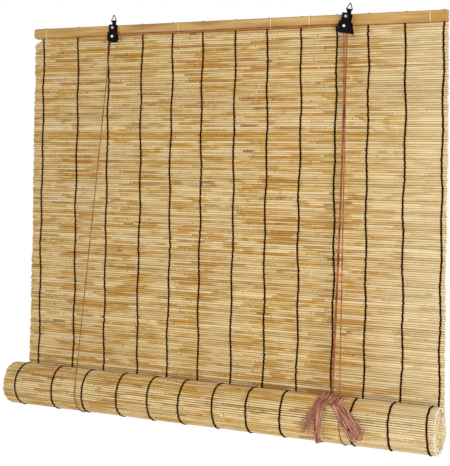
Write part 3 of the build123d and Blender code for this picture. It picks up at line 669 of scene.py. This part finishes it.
def spline_points(route):
    """Points along the smooth NURBS line whose control points are the route."""
    curve = bpy.data.curves.new("route", "CURVE")
    curve.dimensions = "3D"
    curve.resolution_u = 10
    spline = curve.splines.new("NURBS")
    spline.points.add(len(route) - 1)
    corners = np.column_stack([route, np.ones(len(route))])
    spline.points.foreach_set("co", corners.astype(np.float32).ravel())
    spline.order_u = 3
    spline.use_endpoint_u = True
    carrier = bpy.data.objects.new("route", curve)
    mesh = bpy.data.meshes.new_from_object(carrier)
    points = np.empty(len(mesh.vertices) * 3)
    mesh.vertices.foreach_get("co", points)
    bpy.data.meshes.remove(mesh)
    bpy.data.objects.remove(carrier)
    bpy.data.curves.remove(curve)
    return points.reshape(-1, 3)


def spaced(points, step):
    """The same line with points about a step apart."""
    run = np.concatenate([[0], np.cumsum(np.linalg.norm(np.diff(points, axis=0), axis=1))])
    at = np.linspace(0, run[-1], max(3, round(run[-1] / step) + 1))
    return np.column_stack([np.interp(at, run, points[:, k]) for k in range(3)]), at


def twisted_cord(name, route, across, material):
    """Three strands that wind round the route's spline: strand k sits at angle 2 pi (run / lay + k / 3)
    in the plane square to the line, measured from across. That is a direction, or a function that
    gives the way out for each point."""
    line, run = spaced(spline_points(np.asarray(route, float)), cord_lay / cord_steps)
    ahead = unit(np.gradient(line, axis=0))
    outward = across(line) if callable(across) else np.broadcast_to(room_side, line.shape)
    across = outward if callable(across) else np.broadcast_to(np.asarray(across, float), line.shape)
    side = unit(across - (across * ahead).sum(-1, keepdims=True) * ahead)
    other = np.cross(ahead, side)
    strand_radius = cord_diameter / 2 / (1 + 2 / math.sqrt(3)) * strand_fullness
    offset = cord_diameter / 2 - strand_radius
    angle = 2 * np.pi * (run[None, :] / cord_lay + np.arange(cord_strands)[:, None] / cord_strands)
    paths = line + offset * (np.cos(angle)[..., None] * side + np.sin(angle)[..., None] * other)
    sides = np.broadcast_to(side, paths.shape), np.broadcast_to(other, paths.shape)
    points = tubes_along(paths, *sides, np.full(paths.shape[:2], strand_radius), strand_sides)
    piece = mesh_piece(name, points, ring_faces(cord_strands, len(line), strand_sides), material)
    facing = ((points - line[None, :, None]) * outward[None, :, None]).sum(-1) / (cord_diameter / 2)
    set_attribute(piece, "facing", "FLOAT", facing)
    set_attribute(piece, "run", "FLOAT", np.broadcast_to(run[None, :, None], facing.shape))
    return piece, line


def roll_touch(start):
    """Angle round the roll, from its back over the top, where a taut cord from start meets its wrap."""
    behind, above = start[1] - roll_y, start[2] - roll_z
    return math.atan2(above, behind) + math.acos(wrap_radius / math.hypot(behind, above))


def on_wrap(x, angle, radius=wrap_radius):
    """Points of a cord's wrap round the roll."""
    angle = np.asarray(angle)
    y, z = roll_y + radius * np.cos(angle), roll_z + radius * np.sin(angle)
    return np.stack(np.broadcast_arrays(x, y, z), axis=-1)


def run_keep(top_z, bottom_z):
    """Share of a hanging run's length that is left when the roll is up."""
    return (top_z - bottom_z - lift_travel) / (top_z - bottom_z)


def hold(piece, body, *nodes):
    """Let a cord ride on a body in place of its plain solids."""
    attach(piece, body)
    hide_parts(*nodes)


def straight(start, end, share=0.08):
    """A taut run with a point near each end, where it leaves a wheel, the roll or a knot."""
    start, end = np.asarray(start, float), np.asarray(end, float)
    return [start, start + share * (end - start), end - share * (end - start), end]


cord_yarn = cord_finish("terracotta_cord", cord_terracotta, cord_maroon)
wheel_spins = "pulley_wheel_spin", "lock_rear_wheel_spin", "lock_front_wheel_spin"
left_wheel, rear_wheel, front_wheel = (np.array(joints[spin]["pos_m"]) for spin in wheel_spins)
reach = np.array([wheel_cord_radius, 0.0, 0.0])
wrap_corners, wrap_snug = 13, 0.0009
for side, top, wrap_x, tie_x in (("left", left_wheel - reach, wrap_left_x, tie_left_x),
                                 ("right", front_wheel + reach, wrap_right_x, tie_right_x)):
    touch = roll_touch(top)
    foot = on_wrap(wrap_x, touch)
    piece, _ = twisted_cord(f"{side}_lift_cord_front", straight(top, foot), (1, 0, 0), cord_yarn)
    hold(piece, "root", f"{side}_lift_cord_front")
    run_keep(top[2], foot[2])
    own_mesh(piece)
    step = (2 * math.pi - touch) / wrap_corners
    corner_angles = touch + step * (np.arange(wrap_corners) + 0.5)
    corner_radii = wrap_radius / math.cos(step / 2) - wrap_snug * np.sin(np.linspace(0, np.pi, wrap_corners))
    wrap_route = [foot, *on_wrap(wrap_x, corner_angles, corner_radii), on_wrap(wrap_x, 2 * math.pi)]
    piece, _ = twisted_cord(f"{side}_lift_cord_wrap", wrap_route, (1, 0, 0), cord_yarn)
    hold(piece, "carrier", f"{side}_lift_cord_wrap")
    tie = np.array([tie_x, roll_y + wrap_radius, tie_z])
    back_route = straight(tie, on_wrap(wrap_x, 0.0))
    piece, _ = twisted_cord(f"{side}_lift_cord_back", back_route, (1, 0, 0), cord_yarn)
    hold(piece, "root", f"{side}_lift_cord_back")
    run_keep(tie_z, roll_z)
    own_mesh(piece)

# Rail cord: the left lift cord goes over the pulley's wheel, along the lower edge of the rail and
# over the lock's rear wheel; the right one goes over the lock's front wheel.
bend_corners, rail_run_share = 4, 0.03


def wheel_bend(centre, first, last):
    """Control points of a cord's bend on a wheel, from one angle to another as seen from the room."""
    step = math.radians(last - first) / bend_corners
    angles = math.radians(first) + step * (np.arange(bend_corners) + 0.5)
    radius = wheel_cord_radius / math.cos(step / 2)
    return centre + radius * np.stack([np.cos(angles), 0 * angles, np.sin(angles)], axis=-1)


rise = np.array([0.0, 0.0, wheel_cord_radius])
over = straight(left_wheel + rise, rear_wheel + rise, rail_run_share)
route = [left_wheel - reach, *wheel_bend(left_wheel, 180, 90), *over,
         *wheel_bend(rear_wheel, 90, 0), rear_wheel + reach]
piece, _ = twisted_cord("rail_cord", route, (0, 1, 0), cord_yarn)
hold(piece, "root", "rail_cord")
route = [front_wheel + reach, *wheel_bend(front_wheel, 0, 180), front_wheel - reach]
piece, _ = twisted_cord("lock_cord_bend", route, (0, 1, 0), cord_yarn)
hold(piece, "root", "lock_cord_bend")

# Pull cords: both cords hang side by side from the lock to a knot over the roll. They leave the
# wheels apart and come together a hand's width below.
knot_middle = np.array([0.2935, -0.0972, -0.7710])
pull_drops = np.array([0.016, 0.030, 0.172, 0.440])
front_pull_across = (0.2838, 0.2868, 0.2914, 0.2932)
rear_pull_across = (0.2911, 0.2906, 0.2911, 0.2944)
front_pull_foot = np.array([0.2922, -0.0950, -0.7660])
rear_pull_foot = np.array([0.2949, -0.0950, -0.7660])


def pull_route(top, foot, across):
    """A run from a wheel to the knot that passes given places across at given drops."""
    middle = top + (pull_drops / (top[2] - foot[2]))[:, None] * (foot - top)
    middle[:, 0] = across
    return np.vstack([top, middle, foot])


front_route = pull_route(front_wheel - reach, front_pull_foot, front_pull_across)
rear_route = pull_route(rear_wheel + reach, rear_pull_foot, rear_pull_across)
for name, route in (("pull_cord_front", front_route), ("pull_cord_rear", rear_route)):
    piece, line = twisted_cord(name, route, (0, 1, 0), cord_yarn)
    hold(piece, "root", name)
    run_keep(route[0][2], route[-1][2])
    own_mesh(piece)

# Hank: the spare length of the pull cords, softer and paler than the taut runs, wound round itself
# in slanted pairs of turns as a knot. Loops hang from it to the right, over the lift cord, and
# straight down on the roll.
hank_rose = (0.70, 0.335, 0.235, 1.0)
hank_maroon = (0.27, 0.08, 0.05, 1.0)
hank_crest = 0.0498
wind_turns, wind_pitch = 11, 0.0046
wind_depth, wind_height, wind_slant, wind_bunch, wind_lead = 0.0080, 0.0096, 0.0066, 0.0011, 0.45
wind_swell_share, wind_swell_phase = 0.10, 1
points_per_turn = 12
leg_points, bend_points = 6, 6
right_loop_count, left_loop_count = 9, 4
right_starts = (0.302, -0.7755), (0.314, -0.7735)
right_tips = ((0.3415, -0.8375), (0.3470, -0.8430), (0.3545, -0.8435),
              (0.3620, -0.8370), (0.3665, -0.8240))
left_starts, left_tips = ((0.2690, -0.7770), (0.2745, -0.7770)), ((0.2665, -0.8560), (0.2725, -0.8545))
loop_top_radius, right_tip_radius, left_tip_radius = 0.0050, 0.0076, 0.0040
loop_stray, stray_across_wave, stray_down_wave = 0.0013, 2.4, 3.7
loop_bed, loop_top_share = 0.0013, 0.4


def over_roll(x, z, lift):
    """Points on the front of the roll, a lift above its threads, hanging free below its widest place."""
    depth = np.sqrt(np.maximum((hank_crest + lift) ** 2 - np.maximum(z - roll_z, 0) ** 2, 0))
    return np.stack([x, roll_y - depth, z], axis=-1)


def over_cord(x, z, lift):
    """Points a lift in front of the plane of the taut right lift cord and of its wrap's front."""
    top, foot = front_wheel + reach, on_wrap(wrap_right_x, roll_touch(front_wheel + reach))
    front = np.interp(z, [foot[2], top[2]], [foot[1], top[1]])
    return np.stack([x, front - cord_diameter / 2 - lift, z], axis=-1)


def out_of_roll(line):
    """Ways out from the roll's axis at the points of a line."""
    return unit((line - [0, roll_y, roll_z]) * [0, 1, 1])


def spread(corners, at):
    """Places on the way through given ones, from 0 at the first to 1 at the last."""
    stops = np.linspace(0, 1, len(corners))
    return np.column_stack([np.interp(at, stops, [corner[k] for corner in corners]) for k in range(2)])


def loop_route(starts, tips, count, tip_radius, lay):
    """A coil of long turns that drifts sideways: each turn is a belt round a small circle in the knot
    and one at its tip, legs down lie over legs up, and every other turn lies higher. Sines of the
    turn's number make the tips stray."""
    leg = np.linspace(0, 1, leg_points)
    bend = np.pi * (np.arange(bend_points) + 0.5) / bend_points
    width = loop_top_radius + (tip_radius - loop_top_radius) * leg
    share = np.concatenate([leg, np.ones(bend_points), leg[::-1], np.zeros(bend_points)])
    past = np.concatenate([0 * leg, tip_radius * np.sin(bend), 0 * leg, -loop_top_radius * np.sin(bend)])
    across = np.concatenate([width, tip_radius * np.cos(bend), -width[::-1], -loop_top_radius * np.cos(bend)])
    turn = np.arange(count * len(share)) / len(share)
    share, past, across = (np.tile(values, count) for values in (share, past, across))
    start, tip = spread(starts, turn / count), spread(tips, turn / count)
    tip += loop_stray * np.sin(turn[:, None] * [stray_across_wave, stray_down_wave])
    reach = np.linalg.norm(tip - start, axis=1)
    ahead = (tip - start) / reach[:, None]
    square = np.column_stack([-ahead[:, 1], ahead[:, 0]])
    flat = start + (share * (reach - tip_radius) + past)[:, None] * ahead + across[:, None] * square
    layer = 0.5 - 0.5 * np.cos(np.pi * turn) + 1 + across / tip_radius
    height = loop_bed + cord_diameter * layer * (loop_top_share + (1 - loop_top_share) * share)
    return lay(flat[:, 0], flat[:, 1], height)


hank_yarn = cord_finish("rose_cord", hank_rose, hank_maroon)
winds = np.arange(wind_turns * points_per_turn + 1) / points_per_turn
wind_angle = 2 * np.pi * winds
wind_swell = 1 + wind_swell_share * np.sin(wind_angle / 2 + wind_swell_phase)
wind_across = (winds - wind_turns / 2) * wind_pitch
wind_route = knot_middle + np.column_stack([
    wind_across + wind_slant * np.sin(wind_angle) + wind_bunch * np.sin(wind_angle / 2),
    -wind_depth * wind_swell * np.cos(wind_angle) - wind_lead * wind_across,
    wind_height * wind_swell * np.sin(wind_angle),
])
right_route = loop_route(right_starts, right_tips, right_loop_count, right_tip_radius, over_cord)
left_route = loop_route(left_starts, left_tips, left_loop_count, left_tip_radius, over_roll)
for name, route, across in (("hank_knot", wind_route, (1, 0, 0)),
                            ("hank_right_loops", right_route, out_of_roll),
                            ("hank_left_loops", left_route, out_of_roll)):
    piece, line = twisted_cord(name, route, across, hank_yarn)
    hold(piece, "carrier", "cord_hank")

# Frayed tail: the cords' ends have come apart into fine crimped yarns that fan out over the roll,
# and one stray yarn hangs alone.
fray_count, fray_points, fray_sides, fray_radius = 60, 28, 4, 0.00026
fray_start = np.array([0.2650, -0.7705])
fan_degrees, fan_scatter = 18, 8
fray_lengths, fray_offsets = (0.054, 0.080), (-0.004, 0.003)
stray_fan, stray_start, stray_length = 0.03, 0.2835, 0.083
crimp_counts, crimp_width, crimp_rise = (3, 7), 0.0009, 0.4
fan_straight, fray_bed, fray_loft, fray_settle = 0.6, 0.0009, 0.0045, 0.6
fray_shade_facing = (0.15, 0.6)
part = np.linspace(0, 1, fray_points)[None, :]
fan = np.radians(draw.normal(fan_degrees, fan_scatter, (fray_count, 1)))
fray_length = draw.uniform(*fray_lengths, (fray_count, 1))
fray_from = fray_start[0] + draw.uniform(*fray_offsets, (fray_count, 1))
fan[0], fray_length[0], fray_from[0] = stray_fan, stray_length, stray_start
crimp_turns = part * draw.uniform(*crimp_counts, (fray_count, 1)) + draw.random((fray_count, 1))
crimp = crimp_width * part * np.sin(2 * np.pi * crimp_turns)
fan_bend = fan_straight + (1 - fan_straight) * part
fray_x = fray_from - fray_length * part * np.sin(fan) * fan_bend + crimp
fray_z = fray_start[1] - fray_length * part * np.cos(fan) + crimp_rise * crimp
fray_lift = fray_bed + fray_loft * draw.random((fray_count, 1)) * (1 - fray_settle * part)
frays = over_roll(fray_x, fray_z, fray_lift)
ahead = unit(np.gradient(frays, axis=1))
out = out_of_roll(frays)
side = unit(out - (out * ahead).sum(-1, keepdims=True) * ahead)
fray_radii = np.full(frays.shape[:2], fray_radius)
points = tubes_along(frays, side, np.cross(ahead, side), fray_radii, fray_sides)
piece = mesh_piece("hank_frayed_tail", points, ring_faces(fray_count, fray_points, fray_sides), hank_yarn)
# Each yarn takes a random share of the cord's painted shade.
facing = draw.uniform(*fray_shade_facing, (fray_count, 1, 1)) + np.zeros(points.shape[:3])
set_attribute(piece, "facing", "FLOAT", facing)
hold(piece, "carrier", "cord_hank")

# Studio: a small pale floor well below the blind, soft lights from the room's side, one behind the
# mat and one beside the roll's right end, and white all round.
floor_z, floor_half, floor_grey = -1.3, 0.8, (0.9, 0.9, 0.9, 1.0)
floor_mesh = bpy.data.meshes.new("floor")
floor_corners = [(-floor_half, -floor_half, floor_z), (floor_half, -floor_half, floor_z),
                 (floor_half, floor_half, floor_z), (-floor_half, floor_half, floor_z)]
floor_mesh.from_pydata(floor_corners, [], [(0, 1, 2, 3)])
floor_paint, floor_shader, _ = new_finish("pale_floor", roughness=0.9)
floor_shader.inputs["Base Color"].default_value = floor_grey
floor_mesh.materials.append(floor_paint)
floor = bpy.data.objects.new("floor", floor_mesh)
bpy.context.scene.collection.objects.link(floor)

ambient = 0.34
world = bpy.data.worlds.new("white_room")
world.use_nodes = True
bpy.context.scene.world = world
sky = Wire(world.node_tree)
path = sky.node("LightPath", output="Is Camera Ray")
seen = path.maths("MAXIMUM", path.out("Is Glossy Ray")).maths("MAXIMUM", path.out("Is Transmission Ray"))
backdrop = world.node_tree.nodes["Background"]
backdrop.inputs["Color"].default_value = (1.0, 1.0, 1.0, 1.0)
(seen * (1.0 - ambient) + ambient).into(backdrop, "Strength")


def soft_light(name, place, aim, size, power):
    """A square area light that faces a point."""
    lamp = bpy.data.lights.new(name, "AREA")
    lamp.size = size
    lamp.energy = power
    holder = bpy.data.objects.new(name, lamp)
    holder.location = place
    holder.rotation_euler = (Vector(aim) - Vector(place)).to_track_quat("-Z", "Y").to_euler()
    bpy.context.scene.collection.objects.link(holder)


soft_light("key", place=(1.7, -2.25, -0.5), aim=(0.1, 0, -0.7), size=1.2, power=57.0)
soft_light("fill", place=(-1.4, -2.6, 0.3), aim=(0, 0, -0.5), size=1.6, power=18.0)
soft_light("back", place=(-0.6, 2.6, 0.4), aim=(0, 0, -0.5), size=1.6, power=26.0)
soft_light("side", place=(1.9, 0.25, -0.85), aim=(0.5, -0.05, -0.82), size=0.5, power=9.5)

# Camera: a little right of the blind, at the height of its upper third, with the photograph's shift.
camera_place = (1.06392, -2.20726, -0.31408)
camera_yaw, camera_pitch, camera_roll = (math.radians(angle) for angle in (25.70, 0.839, 0.905))
focal_pixels, image_height, shift_pixels, sensor = 1116.1, 466, -80, 36.0
ahead = Vector((-math.sin(camera_yaw), math.cos(camera_yaw), 0))
forward = math.cos(camera_pitch) * ahead + Vector((0, 0, math.sin(camera_pitch)))
level = Vector((math.cos(camera_yaw), math.sin(camera_yaw), 0))
upright = level.cross(forward)
right = math.cos(camera_roll) * level + math.sin(camera_roll) * upright
up = math.cos(camera_roll) * upright - math.sin(camera_roll) * level
lens = bpy.data.cameras.new("camera")
lens.sensor_width = sensor
lens.lens = focal_pixels / image_height * sensor
lens.shift_y = shift_pixels / image_height
camera = bpy.data.objects.new("camera", lens)
camera.matrix_world = Matrix.Translation(camera_place) @ Matrix((right, up, -forward)).transposed().to_4x4()
bpy.context.scene.collection.objects.link(camera)
bpy.context.scene.camera = camera
bpy.context.scene.view_settings.view_transform = "Standard"
